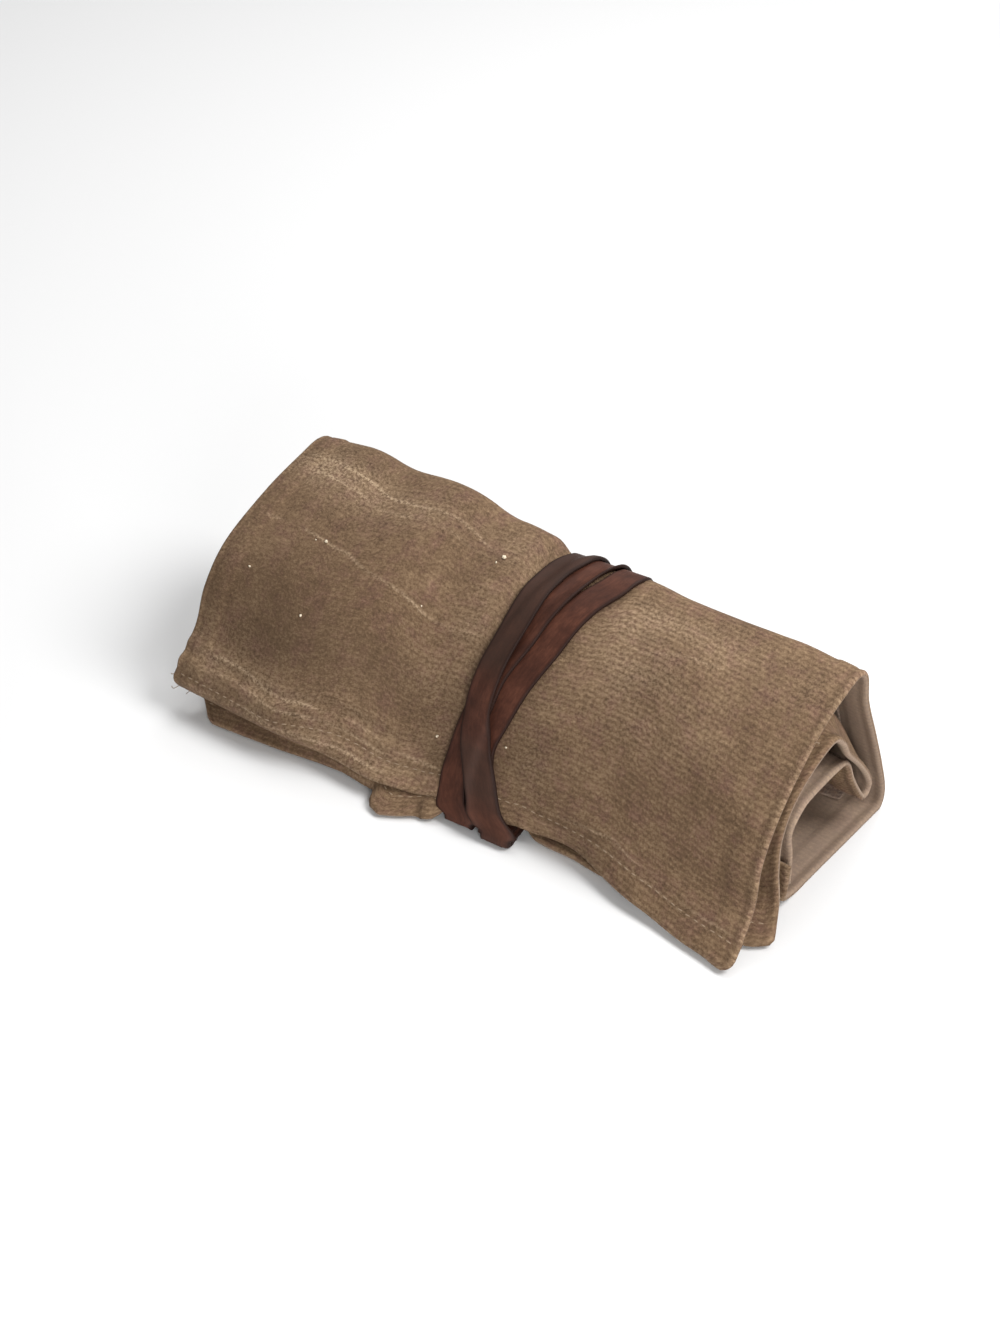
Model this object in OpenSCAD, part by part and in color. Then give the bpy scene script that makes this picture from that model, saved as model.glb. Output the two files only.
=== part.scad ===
// Watch roll of waxed canvas, rolled up and tied with a flat leather strap.
// X runs along the roll, Y from the front hem to the back, Z up from the table.
// Every ply is a sheet: its line in the Y-Z plane is drawn through a few points
// at each station along X, and the sheet gets its thickness on both sides of it.

/* [Roll] */
// Length of the canvas along the roll
roll_len = 220; // [210:1:250]
// Depth of the tied roll, from the front of the flap to the back
roll_d = 96; // [90:1:104]
// Height of the roll on the table
roll_h = 70; // [67:1:74]
// How far the front puffs out at the loose left end
flap_puff = 16; // [8:0.5:18]
// How far the strap lifts the underside
waist_lift = 4.6; // [4.2:0.1:5.4]
// How far the strap draws the top down at its left edge
waist_drop = 6; // [4:0.1:7]
// How far the strap draws the front and the back in
waist_draw = 2.6; // [1:0.1:3.5]

/* [Canvas] */
// Thickness of one ply of waxed canvas
canvas_t = 1.2; // [0.9:0.05:1.4]
// Thickness of a turned hem
hem_t = 2.2; // [1.8:0.05:2.4]
// Width of the turned hems at both ends
hem_w = 10; // [7:0.5:14]
// Gap between plies that lie on each other
ply_gap = 0.3; // [0.2:0.05:0.5]
// How far the end of the shell and the cover flap overlap where they are sewn
lap_w = 9; // [7:0.5:11]

/* [Pocket panel] */
// Thickness of the pocket cloth
pocket_t = 0.9; // [0.7:0.05:1.1]
// How far the pocket panel stops short of the side hems
pocket_inset = 3; // [1:0.5:12]

/* [Tie strap] */
// Width of the leather strap
tie_w = 10.5; // [8:0.25:11.5]
// Thickness of the leather strap
tie_t = 1.4; // [1.2:0.05:1.6]
// Gap between turns that lie on each other
tie_gap = 0.55; // [0.5:0.05:0.65]
// Gap between the strap and the canvas
tie_clear = 0.3; // [0.2:0.05:0.4]
// Middle of the strap along the roll
tie_x0 = 11; // [6:1:18]

/* [Hidden] */

// Steps between two points of a line, and the middle of the whole roll
steps = 2;
mid_x = 2.25;
mid_y = 44.2;
ky = roll_d / 96;
kz = roll_h / 70;
end_x = roll_len / 2;

function smooth(a, b, v) = let (t = min(1, max(0, (v - a) / (b - a)))) t * t * (3 - 2 * t);
function mix(a, b, t) = a + (b - a) * t;
function unit(v) = v / norm(v);
function curvePoint(p, q, r, s, t) =
    0.5 * (2 * q + (r - p) * t + (2 * p - 5 * q + 4 * r - s) * t * t
    + (3 * q - p - 3 * r + s) * t * t * t);
function curve(pts) = let (n = len(pts) - 1) concat(
    [for (i = [0:n - 1], k = [0:steps - 1])
        curvePoint(pts[max(0, i - 1)], pts[i], pts[i + 1], pts[min(n, i + 2)], k / steps)],
    [pts[n]]);
function closedCurve(pts) = let (n = len(pts)) [for (i = [0:n - 1], k = [0:steps - 1])
    curvePoint(pts[(i + n - 1) % n], pts[i], pts[(i + 1) % n], pts[(i + 2) % n], k / steps)];

// Outward side of a line that goes up the front and down the back
function outward(a, b) = let (t = unit(b - a)) [-t[1], t[0]];
function sides(line) = let (n = len(line) - 1)
    [for (i = [0:n]) outward(line[max(0, i - 1)], line[min(n, i + 1)])];
function closedSides(line) = let (n = len(line))
    [for (i = [0:n - 1]) outward(line[(i + n - 1) % n], line[(i + 1) % n])];

// The strap draws the canvas in: 1 under the strap, 0 away from it
function waist(x) = smooth(tie_x0 - 27, tie_x0 - 19, x) * (1 - smooth(tie_x0 + 20, tie_x0 + 28, x));
function drawnIn(p, w) = let (u = p[0] / roll_d, v = p[1] / roll_h) [
    p[0] + w * waist_draw * (1 - 2 * u), p[1] + w * waist_lift * pow(max(0, 1 - v), 1.6)];

// Stations along the roll: ends, edges of the side hems, the waist and between
left_xs = [-end_x, -end_x + hem_w - 1, -end_x + hem_w + 1];
right_xs = [tie_x0 - 19, tie_x0 + 20, tie_x0 + 28, tie_x0 + 59,
    end_x - hem_w - 1, end_x - hem_w + 1, end_x];
shell_xs = concat(left_xs, [for (d = [-95, -81, -59, -39, -27]) tie_x0 + d], right_xs);
flap_xs = concat(left_xs, [for (d = [-77, -59, -39, -27]) tie_x0 + d], right_xs);

// Front hems along the roll: how far forward the shell's hem and the flap's hem
// reach, and how high the shell's hem hangs above the table
shell_hem_y = [[-end_x, -6], [tie_x0 - 59, -5.5], [tie_x0 - 39, -4.5], [tie_x0 - 27, -1],
    [tie_x0 - 19, 2.6], [tie_x0 + 20, 6.8], [tie_x0 + 49, 8], [tie_x0 + 63, 5.5], [end_x - 9, 0.8], [end_x, 0.4]];
shell_hem_z = [[-end_x, 7.5], [tie_x0 - 39, 6.2], [tie_x0 - 27, 6.6], [tie_x0 - 19, 3.6], [tie_x0 + 20, 3],
    [tie_x0 + 49, 4.8], [end_x - 20, 1.4], [end_x, 1.4]];
flap_hem_y = [[-end_x, -8], [tie_x0 - 81, -5.5], [tie_x0 - 59, -4.5], [tie_x0 - 27, -6],
    [tie_x0 - 19, 7.2], [tie_x0 + 20, 11.2], [tie_x0 + 42, 12.5], [tie_x0 + 63, 15], [end_x, 18.2]];
// How much the top of the roll is higher or lower than at its middle height
top_z = [[-end_x, 0], [tie_x0 - 110, 2.6], [tie_x0 - 95, 5.4], [tie_x0 - 81, 3], [tie_x0 - 59, 5.2],
    [tie_x0 - 39, 1.4], [tie_x0 - 27, 2.8], [tie_x0 - 19, -waist_drop], [tie_x0 + 20, 0], [tie_x0 + 28, -0.7],
    [tie_x0 + 59, 0.2], [end_x - 20, 2], [end_x, 0.8]];

// The front is puffed out at the left end and taut from the strap on
function puff(x) = flap_puff * (1 - smooth(tie_x0 - 83, tie_x0 - 22, x));

// Shell: front hem, front, top, back, underside, then turned up in front
floor_z = canvas_t / 2 - 0.3;
function shellHem(x) = [lookup(x, shell_hem_y), lookup(x, shell_hem_z) + waist(x) * (waist_lift - 2.4)];
function shellLine(x) = let (w = waist(x), f = puff(x), t = lookup(x, top_z)) concat([shellHem(x)], [for (p = [
    [12.5 * ky - 1.3 * f, 14.5 * kz], [19 * ky - f, 27.5 * kz], [26.5 * ky - f, 40.5 * kz],
    [37 * ky - 0.85 * f, 52.5 * kz + 0.2 * t], [49 * ky - 0.4 * f, 62 * kz + 0.5 * t],
    [61 * ky, 67.2 * kz + 0.85 * t],
    [69.5 * ky, 69 * kz + t], [75 * ky, 65.4 * kz + 0.9 * t],
    [78.5 * ky, 54 * kz + 0.4 * t], [84.5 * ky, 37 * kz],
    [91 * ky, 20 * kz], [94.6 * ky, 8.5 * kz], [92.5 * ky, 2.4], [86 * ky, floor_z],
    [66 * ky, floor_z], [48 * ky, floor_z], [39 * ky, 1.4],
    [35 * ky, 5 * kz], [35.8 * ky, 10 * kz], [35.8 * ky + 0.19 * lap_w, 10 * kz + lap_w]]) drawnIn(p, w)]);

// Inner side of the shell's front, where the flap lies behind it
function behindFront(line, i) = line[i] - (hem_t + ply_gap + (i == 1 ? 1.4 : 0.9)) * outward(line[i - 1], line[i + 1]);

// Cover flap: sewn to the shell's end, folded over three times inside the roll,
// then down behind the shell's front to its own hem on the table
function flapLine(x) = let (w = waist(x), shell = shellLine(x), hem = shellHem(x),
        g = 1 - smooth(tie_x0 + 20, end_x, x), lap = hem_t + ply_gap + 0.05, y = lookup(x, flap_hem_y),
        tip = [y, hem_t / 2 + w * (waist_lift - 0.2)],
        low = mix([max(hem[0] + 4.8, y + 1.8), 2.4 + 3 * smooth(-1, 4, y - hem[0])],
            [hem[0] + 8.2, hem[1] + 4], w))
    concat([for (p = [
        [35.8 * ky + lap + 0.1, 10.8 * kz], [35.8 * ky + 0.19 * lap_w + lap, 10.4 * kz + lap_w],
        [38.8 * ky, 28.5 * kz], [40.6 * ky, 34.2 * kz], [47 * ky, 36.8 * kz],
        [64 * ky, 37.2 * kz], [69 * ky, 34.2 * kz], [73 * ky, 26 * kz],
        [81.3 * ky, 13.4 * kz], [84.8 * ky, 15.4 * kz], [84.4 * ky, 22 * kz], [80 * ky, 34 * kz],
        [74 * ky, 45 * kz], [67.5 * ky, 53.5 * kz], [61.5 * ky, 57 * kz], [54.5 * ky, 54.8 * kz]])
        drawnIn(p, w)],
    [for (q = [[46.5, 49.5, 4], [38.8, 41.5, 3], [32.8, 31, 2], [28, 20, 1]])
        mix(drawnIn([q[0] * ky, q[1] * kz], w), behindFront(shell, q[2]), g)],
    [mix([25, 10], low, g), tip]);

// Pocket panel: on the inner face of the shell's back, from the seam upwards
function pocketLine(x) = let (shell = shellLine(x), d = canvas_t / 2 + ply_gap + pocket_t / 2)
    [for (i = [14:-1:9]) shell[i] - d * outward(shell[i - 1], shell[i + 1])];

// How much longer the front edges are than the roll at its left and right end
function flared(x, left, right) = x < 3 - end_x + hem_w ? -left : (x > end_x - hem_w - 3 ? right : 0);

module sheet(lines, thick) {
    rows = len(lines[0]) - 1;
    last = len(lines) - 1;
    n = (rows + 1) * (last + 1);
    function at(i, j) = i * (last + 1) + j;
    function face(s) = [for (i = [0:rows], j = [0:last]) let (line = lines[j],
        a = line[max(0, i - 1)], b = line[min(rows, i + 1)], d = outward([a[1], a[2]], [b[1], b[2]]),
        h = s * thick[j][i] / 2)
        [line[i][0] - mid_x, line[i][1] + h * d[0] - mid_y, max(0, line[i][2] + h * d[1])]];
    quads = concat(
        [for (i = [0:rows - 1], j = [0:last - 1]) [at(i, j), at(i + 1, j), at(i + 1, j + 1), at(i, j + 1)]],
        [for (i = [0:rows - 1], j = [0:last - 1])
            [n + at(i, j), n + at(i, j + 1), n + at(i + 1, j + 1), n + at(i + 1, j)]],
        [for (i = [0:rows - 1]) [at(i + 1, 0), at(i, 0), n + at(i, 0), n + at(i + 1, 0)]],
        [for (i = [0:rows - 1]) [at(i, last), at(i + 1, last), n + at(i + 1, last), n + at(i, last)]],
        [for (j = [0:last - 1]) [at(0, j), at(0, j + 1), n + at(0, j + 1), n + at(0, j)]],
        [for (j = [0:last - 1]) [at(rows, j + 1), at(rows, j), n + at(rows, j), n + at(rows, j + 1)]]);
    polyhedron(concat(face(1), face(-1)),
        [for (q = quads) each [[q[0], q[1], q[2]], [q[0], q[2], q[3]]]], convexity = 10);
}

// Thick at the side hems and at the hems across both ends of a ply
function canvasThick(lines) = let (last = len(lines) - 1, rows = len(lines[0]) - 1)
    [for (j = [0:last]) [for (i = [0:rows])
    j < 2 || j > last - 2 || i < 2 || i > rows - 2 ? hem_t : canvas_t]];

module outer_shell() {
    lines = [for (x = shell_xs) let (line = shellLine(x)) curve([for (k = [0:len(line) - 1])
        [x + flared(x, 2, 2.4) * max(0, 1 - k / 2), line[k][0], line[k][1]]])];
    color("#77604c") sheet(lines, canvasThick(lines));
}

module cover_flap() {
    m = len(flapLine(0)) - 1;
    lines = [for (x0 = flap_xs) curve([for (k = [0:m]) let (h = smooth(m - 6, m, k),
        x = x0 + flared(x0, -15 * h, 6.5 * h), p = flapLine(x)[k]) [x, p[0], p[1]]])];
    color("#7f6a58") sheet(lines, canvasThick(lines));
}

module pocket_panel() {
    edge = end_x - hem_w - 1 - pocket_inset;
    at = concat([-edge], [for (x = shell_xs) if (abs(x) < edge) x], [edge]);
    lines = [for (x = at) curve([for (p = pocketLine(x)) [x, p[0], p[1]]])];
    color("#8a7263") sheet(lines, [for (x = at) [for (p = lines[0]) pocket_t]]);
}

// Strap: the loop that every turn follows, its middle line at the innermost level
tie_reach = tie_clear + tie_t / 2;
tie_floor = waist_lift - 0.3 - tie_reach;
function tieLoop(x) = let (shell = shellLine(x), tip = shell[0], thin = canvas_t / 2 + tie_reach + 0.1,
        full = hem_t / 2 + tie_reach)
    let (low = [tip[0] - 0.8 * full - 0.2, tip[1] + 0.6 * full + 0.1])
    closedCurve(concat([low, mix(low, shell[1] + full * outward(shell[0], shell[2]), 0.3)],
    [for (i = [1:14]) shell[i] + (i == 1 ? full : thin) * outward(shell[i - 1], shell[i + 1])],
    [for (y = [66 * ky, 42 * ky, 20 * ky, tip[0] + 5, tip[0] + 1]) [y, tie_floor]],
    [[tip[0] - full - 0.2, tie_floor + 1.7]]));
left_loop = tieLoop(tie_x0 - 19);
right_loop = tieLoop(tie_x0 + 20);
left_out = closedSides(left_loop);
right_out = closedSides(right_loop);
loop_n = len(left_loop);
loop_len = [for (i = 0, s = 0; i <= loop_n;
    s = s + norm(left_loop[(i + 1) % loop_n] - left_loop[i % loop_n]), i = i + 1) s];

// Where the strap lies along the roll, by turns from the front hem
tie_run = [[-0.2, -9.2], [0, -9.2], [0.04, -12.5], [0.08, -13], [0.11, -8.5], [0.14, -5.5], [0.21, -0.5],
    [0.3, 4.9], [0.365, 7.6], [0.4, 13], [0.44, 13.5], [0.55, 10], [0.68, 4.5], [0.85, 4], [1, 4],
    [1.03, 1.8], [1.05, -0.6], [1.09, -6.5], [1.12, -9.5], [1.16, -10.8], [1.21, -9.6], [1.26, -5.2], [1.3, -3.7],
    [1.38, 0.2], [1.5, 3], [1.68, 6.5], [1.9, 7.7], [2, 6], [2.04, -1.5], [2.07, -4.3], [2.11, -10.5],
    [2.14, -12], [2.19, -12], [2.25, -10.6], [2.3, -9.7], [2.36, -7], [2.4, -4], [2.5, -5.2], [2.6, -8], [2.9, -8.6]];
// Which level it lies on: 0 on the canvas, 1 and 2 on the turns below it
tie_level = [[1, 0], [1.05, 1], [2, 1], [2.05, 2], [2.58, 2], [2.66, 0.8], [2.78, 0]];
tie_first = -7;
tie_last = 3 * loop_n - 9;
function tieTurn(m) = let (k = (m + loop_n) % loop_n) floor(m / loop_n) + loop_len[k] / loop_len[loop_n];
function tieX(m) = tie_x0 + lookup(tieTurn(m), tie_run);
function tieLevel(m) = lookup(tieTurn(m), tie_level);
function tieSpot(m, x, h) = let (k = (m + loop_n) % loop_n, t = (x - tie_x0 + 19) / 39,
    o = unit(mix(left_out[k], right_out[k], t)),
    p = mix(left_loop[k], right_loop[k], t) + (h + tieLevel(m) * (tie_t + tie_gap)) * o) [x, p[0], p[1]];
function tieMid(m) = tieSpot(m, tieX(m), 0);
function tieHalf(m) = let (a = tieMid(m - 1), b = tieMid(m + 1), s = norm([b[1] - a[1], b[2] - a[2]]))
    tie_w / 2 * sqrt(1 + pow((b[0] - a[0]) / s, 2));

module tie_strap() {
    bevel = tie_t / 2;
    count = tie_last - tie_first;
    pts = [for (m = [tie_first:tie_last]) let (h = tieHalf(m))
        each [for (q = [[-1, 0], [-1, 1], [1, 1], [1, 0], [1, -1], [-1, -1]])
            tieSpot(m, tieX(m) + q[0] * (h - abs(q[1]) * bevel), q[1] * tie_t / 2) - [mid_x, mid_y, 0]]];
    color("#54372f") polyhedron(pts, concat(
        [for (r = [0:count - 1], k = [0:5]) let (a = 6 * r + k, b = 6 * r + (k + 1) % 6)
            each [[a, a + 6, b + 6], [a, b + 6, b]]],
        [[for (k = [0:5]) k], [for (k = [5:-1:0]) 6 * count + k]]), convexity = 10);
}

// Least gap between two turns at the same place of the loop
function turnGap(m, q) = let (a = tieX(m), b = tieX(q), across = abs(a - b) - tieHalf(m) - tieHalf(q),
        over = across < 0 ? (a + b) / 2 : a, p = tieSpot(m, over, 0), r = tieSpot(q, over, 0),
        up = norm(p - r) - tie_t)
    across < 0 ? up : norm([across, max(0, up)]);
echo(least_gap_between_turns = min([for (m = [tie_first:tie_last], q = [m + loop_n, m + 2 * loop_n])
    if (q <= tie_last) turnGap(m, q)]));

outer_shell();
cover_flap();
pocket_panel();
tie_strap();
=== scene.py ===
import math

import bmesh
import bpy
import numpy as np
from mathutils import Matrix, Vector


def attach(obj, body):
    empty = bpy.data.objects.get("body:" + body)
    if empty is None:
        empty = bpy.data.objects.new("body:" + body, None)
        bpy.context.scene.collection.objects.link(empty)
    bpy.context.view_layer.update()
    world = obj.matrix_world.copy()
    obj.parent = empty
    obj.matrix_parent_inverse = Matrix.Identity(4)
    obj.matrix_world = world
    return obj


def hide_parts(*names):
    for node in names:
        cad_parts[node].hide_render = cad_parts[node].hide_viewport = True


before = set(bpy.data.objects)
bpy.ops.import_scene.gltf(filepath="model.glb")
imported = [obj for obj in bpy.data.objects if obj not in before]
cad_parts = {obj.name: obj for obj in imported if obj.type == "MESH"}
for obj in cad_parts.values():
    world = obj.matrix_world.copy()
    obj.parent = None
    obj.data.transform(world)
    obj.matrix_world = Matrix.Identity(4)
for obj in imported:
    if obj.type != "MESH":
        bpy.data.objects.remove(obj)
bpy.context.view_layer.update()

# A watch roll of waxed canvas, tied with a flat leather strap. Lengths are in millimetres: X runs
# along the roll to its open end, Y to the back and Z up. The frame's origin is the middle of the
# tied roll, so middleX and middleY are taken off when a mesh is made.
roll = {
    "length": 220,
    "depth": 96,
    "height": 70,
    "middleX": 2.25,
    "middleY": 44.2,
    "puff": 16,  # the loose left end bulges this far forward
    "puffBetween": (-72, -11),  # in full up to the first place, and gone at the second
    "lift": 4.6,  # the strap lifts the underside
    "hemLift": 2.2,  # and the hems
    "drop": 4,  # and draws the top down
    "draw": 2.6,  # and the front and back in
    "shoulder": 9,  # length over which the cloth rises again beside the strap
}
cloth = {
    "thick": 1.2,
    "hemThick": 2.3,
    "hemWidth": 10,
    "plyGap": 0.3,
    "sideSeam": 2.8,  # stitches from the side edges
    "hemSeam": 8.3,  # and from the hem
    "seamPull": 0.6,  # the thread pulls the hem this much flatter
    "stepX": 1.25,
    "stepPath": 1.3,
}
strap = {
    "width": 10.5,
    "thick": 1.4,
    "gap": 0.1,
    "reach": 1.0,  # canvas face to the middle of the strap in the CAD
    "middle": 11,
    "left": -8,  # the turns lie between these places
    "right": 31,
    "startsBefore": 0.12,  # turns before the front hem
    "endsAfter": 2.79,  # and after it
}
strapBed = (strap["left"], strap["right"])
bedWidth = strap["right"] - strap["left"]


def smooth(a, b, v):
    # 0 at a and 1 at b, with an easy start and end
    t = np.clip((v - a) / (b - a), 0, 1)
    return t * t * (3 - 2 * t)


def along(x, table, soft=5):
    # a table of (place along the roll, value), rounded off over a few millimetres
    knots, values = zip(*table)
    return sum(np.interp(x + d * soft, knots, values) for d in (-1, -0.5, 0, 0.5, 1)) / 5


def softNoise(u, v, size, seed):
    # smooth bumps of about this size in mm, between -1 and 1
    rng = np.random.default_rng(seed)
    grid = rng.uniform(-1, 1, (64, 64))
    a, b = np.asarray(u) / size + 20.3, np.asarray(v) / size + 11.7
    i, j = np.floor(a).astype(int), np.floor(b).astype(int)
    s, t = a - i, b - j
    s, t = s * s * (3 - 2 * s), t * t * (3 - 2 * t)

    def at(p, q):
        return grid[(i + p) % 64, (j + q) % 64]

    low = at(0, 0) * (1 - s) + at(1, 0) * s
    high = at(0, 1) * (1 - s) + at(1, 1) * s
    return low * (1 - t) + high * t


def catmullRom(p, q, r, s, t):
    # the curve from q to r
    return 0.5 * (2 * q + (r - p) * t + (2 * p - 5 * q + 4 * r - s) * t * t + (3 * q - p - 3 * r + s) * t**3)


def inFrame(pointsMm):
    # the script's millimetres to the frame's metres
    return (pointsMm - np.array([roll["middleX"], roll["middleY"], 0])) * 0.001


def addObject(name, mesh):
    piece = bpy.data.objects.new(name, mesh)
    bpy.context.scene.collection.objects.link(piece)
    return piece


# Where the strap's turns lie along the roll at each height: the cloth is drawn in there
strapOver = {
    "front": {
        "height": (0, 15, 27, 40, 52, 61, 66, 70),
        "left": (-4, -8, -6, -7, -6, -5, -3, 0),
        "right": (23.5, 15, 10, 15, 19, 22, 24, 28),
    },
    "back": {
        "height": (0, 20, 40, 60, 70),
        "left": (-4, -3.5, -2.5, -1, 0.5),
        "right": (25, 25, 28, 30.5, 30),
    },
}


def tied(x, z, back):
    # 1 under the strap and 0 away from it
    over = strapOver["back" if back else "front"]
    left = np.interp(z, over["height"], over["left"])
    right = np.interp(z, over["height"], over["right"])
    d = roll["shoulder"]
    return smooth(left - d, left, x) * (1 - smooth(right, right + d, x))


def drawnIn(y, z, w):
    # a point of a section, drawn in by the strap as far as w says
    u, v = y / roll["depth"], np.clip(1 - z / roll["height"], 0, 1)
    return y + w * roll["draw"] * (1 - 2 * u), z + w * roll["lift"] * v**1.6


def puffed(x):
    return roll["puff"] * (1 - smooth(*roll["puffBetween"], x))


def outward(a, b):
    # the outward side of a section that runs from a to b
    d = b - a
    d = d / np.linalg.norm(d, axis=0)
    return np.array([-d[1], d[0]])


# Outer shell: from the front hem over the top, down the back, under the roll and up inside as a lap

floorZ = cloth["thick"] / 2 - 0.3
outerShell = {
    "hemY": [
        (-110, -6.2), (-84, -5.2), (-66, -4.5), (-49, -3.5), (-38, -3.5), (-28, -4.6), (-16, -1.4),
        (-8, 2.6), (23, 6.4), (30, 10.4), (37, 12), (46, 12.6), (56, 8.6), (63, 5.8), (73, 3.4),
        (83, 2.8), (92, 0.2), (100, -0.6), (110, -2.6),
    ],
    "hemZ": [
        (-110, 7.5), (-28, 6.2), (-16, 6), (-8, 3.6), (23, 3.2), (30, 4.2), (60, 4.4), (73, 3.4),
        (90, 1.4), (110, 1.4),
    ],
    "tiedHemY": (2.6, 6.8),  # under the left and the right edge of the strap
    "tiedHemZ": (3.6, 3),
    "looseTop": [
        (-110, 0), (-99, 2.6), (-84, 5.6), (-71, 3), (-52, 5.4), (-40, 5), (-28, 0.8), (-16, 1.6),
        (-4, 0.4), (31, -0.3), (39, -1.5), (52, -0.8), (66, 0), (90, 2), (110, 0.8),
    ],
    # points of the section: y, z, share of the puff, share of the top's rise, is it at the back
    "points": [
        (12.5, 14.5, 1.3, 0, 0), (19, 27.5, 1, 0, 0), (26.5, 40.5, 1, 0, 0), (37, 52.5, 0.85, 0.2, 0),
        (49, 62, 0.4, 0.5, 0), (61, 67.2, 0, 0.85, 0), (69.5, 69, 0, 1, 0), (75, 65.4, 0, 0.9, 1),
        (78.5, 54, 0, 0.4, 1), (84.5, 37, 0, 0, 1), (91, 20, 0, 0, 1), (94.6, 8.5, 0, 0, 1),
        (92.5, 2.4, 0, 0, 1), (86, floorZ, 0, 0, 1), (66, floorZ, 0, 0, 1), (48, floorZ, 0, 0, 1),
        (40.2, 1.6, 0, 0, 1), (35.4, 5, 0, 0, 1), (35.8, 10, 0, 0, 1), (37.5, 19, 0, 0, 1),
    ],
    "lapFrom": 17,  # the points from this one on are the lap
    "lapLean": 4.4,  # at the open end the lap leans forward, up to the front ply
    # the fold at the back gets sharper at the open end: point, and its move in y and z there
    "closing": {7: (-0.6, 0), 8: (-1.7, 0), 9: (-0.4, 0), 11: (0.4, -0.6), 12: (1.8, -1.1), 13: (3.5, 0)},
    "closingBetween": (88, 110),
    # row from the hem, and how far it runs out past the left and the right end
    "out": {
        0: (2, 4.6), 1: (0.4, 2.4), 2: (-0.3, 0.4), 3: (0.6, 0), 4: (1.2, 0), 5: (1, 0), 6: (0.6, 0),
        17: (0, 0.6), 18: (0, 1.6), 19: (0, 2.8), 20: (0, 2.4),
    },
    "corners": (4.5, 0),  # radii at the front hem and at the lap's end
}


def topShift(x, w):
    # how far the top rises: loose beside the strap, and drawn down under it
    loose = along(x, outerShell["looseTop"])
    underStrap = np.clip(-roll["drop"] * (strap["right"] - x) / bedWidth, -roll["drop"], 0)
    return loose + w * (underStrap - loose)


def lapShift(x, z):
    return outerShell["lapLean"] * smooth(70, 106, x) * smooth(1.5, 8, z) * (1 - smooth(24, 35, z))


def shellRows(x, full=False):
    # the section's points at each place along the roll, or as the strap ties it everywhere
    w = 1 if full else tied(x, 0, False)
    hemY = np.interp(x, strapBed, outerShell["tiedHemY"]) if full else along(x, outerShell["hemY"])
    hemZ = np.interp(x, strapBed, outerShell["tiedHemZ"]) if full else along(x, outerShell["hemZ"])
    rows = [(hemY, hemZ + w * roll["hemLift"])]
    for i, (y, z, puff, rise, back) in enumerate(outerShell["points"]):
        w = 1 if full else tied(x, z, back)
        lean = lapShift(x, z) if i >= outerShell["lapFrom"] else 0
        closing = smooth(*outerShell["closingBetween"], x)
        dy, dz = outerShell["closing"].get(i, (0, 0))
        y = y - puff * puffed(x) - lean + dy * closing
        rows.append(drawnIn(y, z + rise * topShift(x, w) + dz * closing, w))
    return np.array([np.broadcast_arrays(y, z) for y, z in rows])


# Cover flap: from its seam inside the roll up and round in an open curl, then down behind the front ply

coverFlap = {
    # with the corner that the strap squeezes out at its left
    "hemY": [
        (-110, -11.4), (-86, -9.4), (-65, -6.4), (-50, -3.5), (-40, -2), (-25.2, -2.6), (-22.8, -9.6),
        (-17.4, -11.4), (-11.5, -7.8), (-6.8, -4), (-5, -4.2), (-3, -3.2), (-1, -1.6), (1.4, 5.4),
        (9.5, 7.8), (24, 10.8), (28, 11.4), (30.5, 10.2), (37, 10.2), (46, 10.6), (57, 9.4),
        (62, 10.4), (80, 12), (100, 10.6), (110, 10.6), (114.5, 12.9), (118, 16.9),
    ],
    "points": [
        (39.6, 6.8), (40.1, 19.4), (38.8, 28.5), (40.6, 34.2), (47, 36.8), (64, 37.2), (69, 34.2),
        (73, 26), (81.3, 13.4), (84.8, 15.4), (84.4, 22), (80, 34), (74, 45), (68, 53.5), (61.5, 57.6),
        (52.5, 56.8),
    ],
    "lean": (0.35, 0.6, 1, 1),  # how much of the lap's lean the first points follow
    # the curl closes at the open end: point, and its move in y and z there
    "closing": {
        10: (-3.2, 0.2), 11: (-4.4, -3.6), 12: (-4.8, -7.2), 13: (-4.2, -9.6), 14: (-2.2, -6.4),
        15: (0, -0.6),
    },
    "closingBetween": (99, 111),
    # points of the front at the open end: y, z, and the row of the shell that they lie behind
    "front": [(41.8, 50.5, 4), (33.8, 41.5, 3), (29, 31, 2), (27.2, 20, 1)],
    "beforeHem": (25.0, 10.0),
    # row counted from the hem, and how far it runs out past the left and the right end
    "out": {
        1: (15.6, 8.2), 2: (6.2, 4), 3: (2.8, 1.6), 4: (1.2, 0.7), 5: (0, 0.8), 6: (0, 1.8),
        7: (0, 2.8), 8: (0, 2.6), 9: (0, 2.2), 10: (0, 1.6), 11: (0, 1.2), 12: (0, 0.8),
    },
    "corners": (0, 2.6),
    "slitX": -5.8,  # a slit beside the squeezed corner
    "slitWide": 0.9,
    "slitDeep": 1.1,
}


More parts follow.
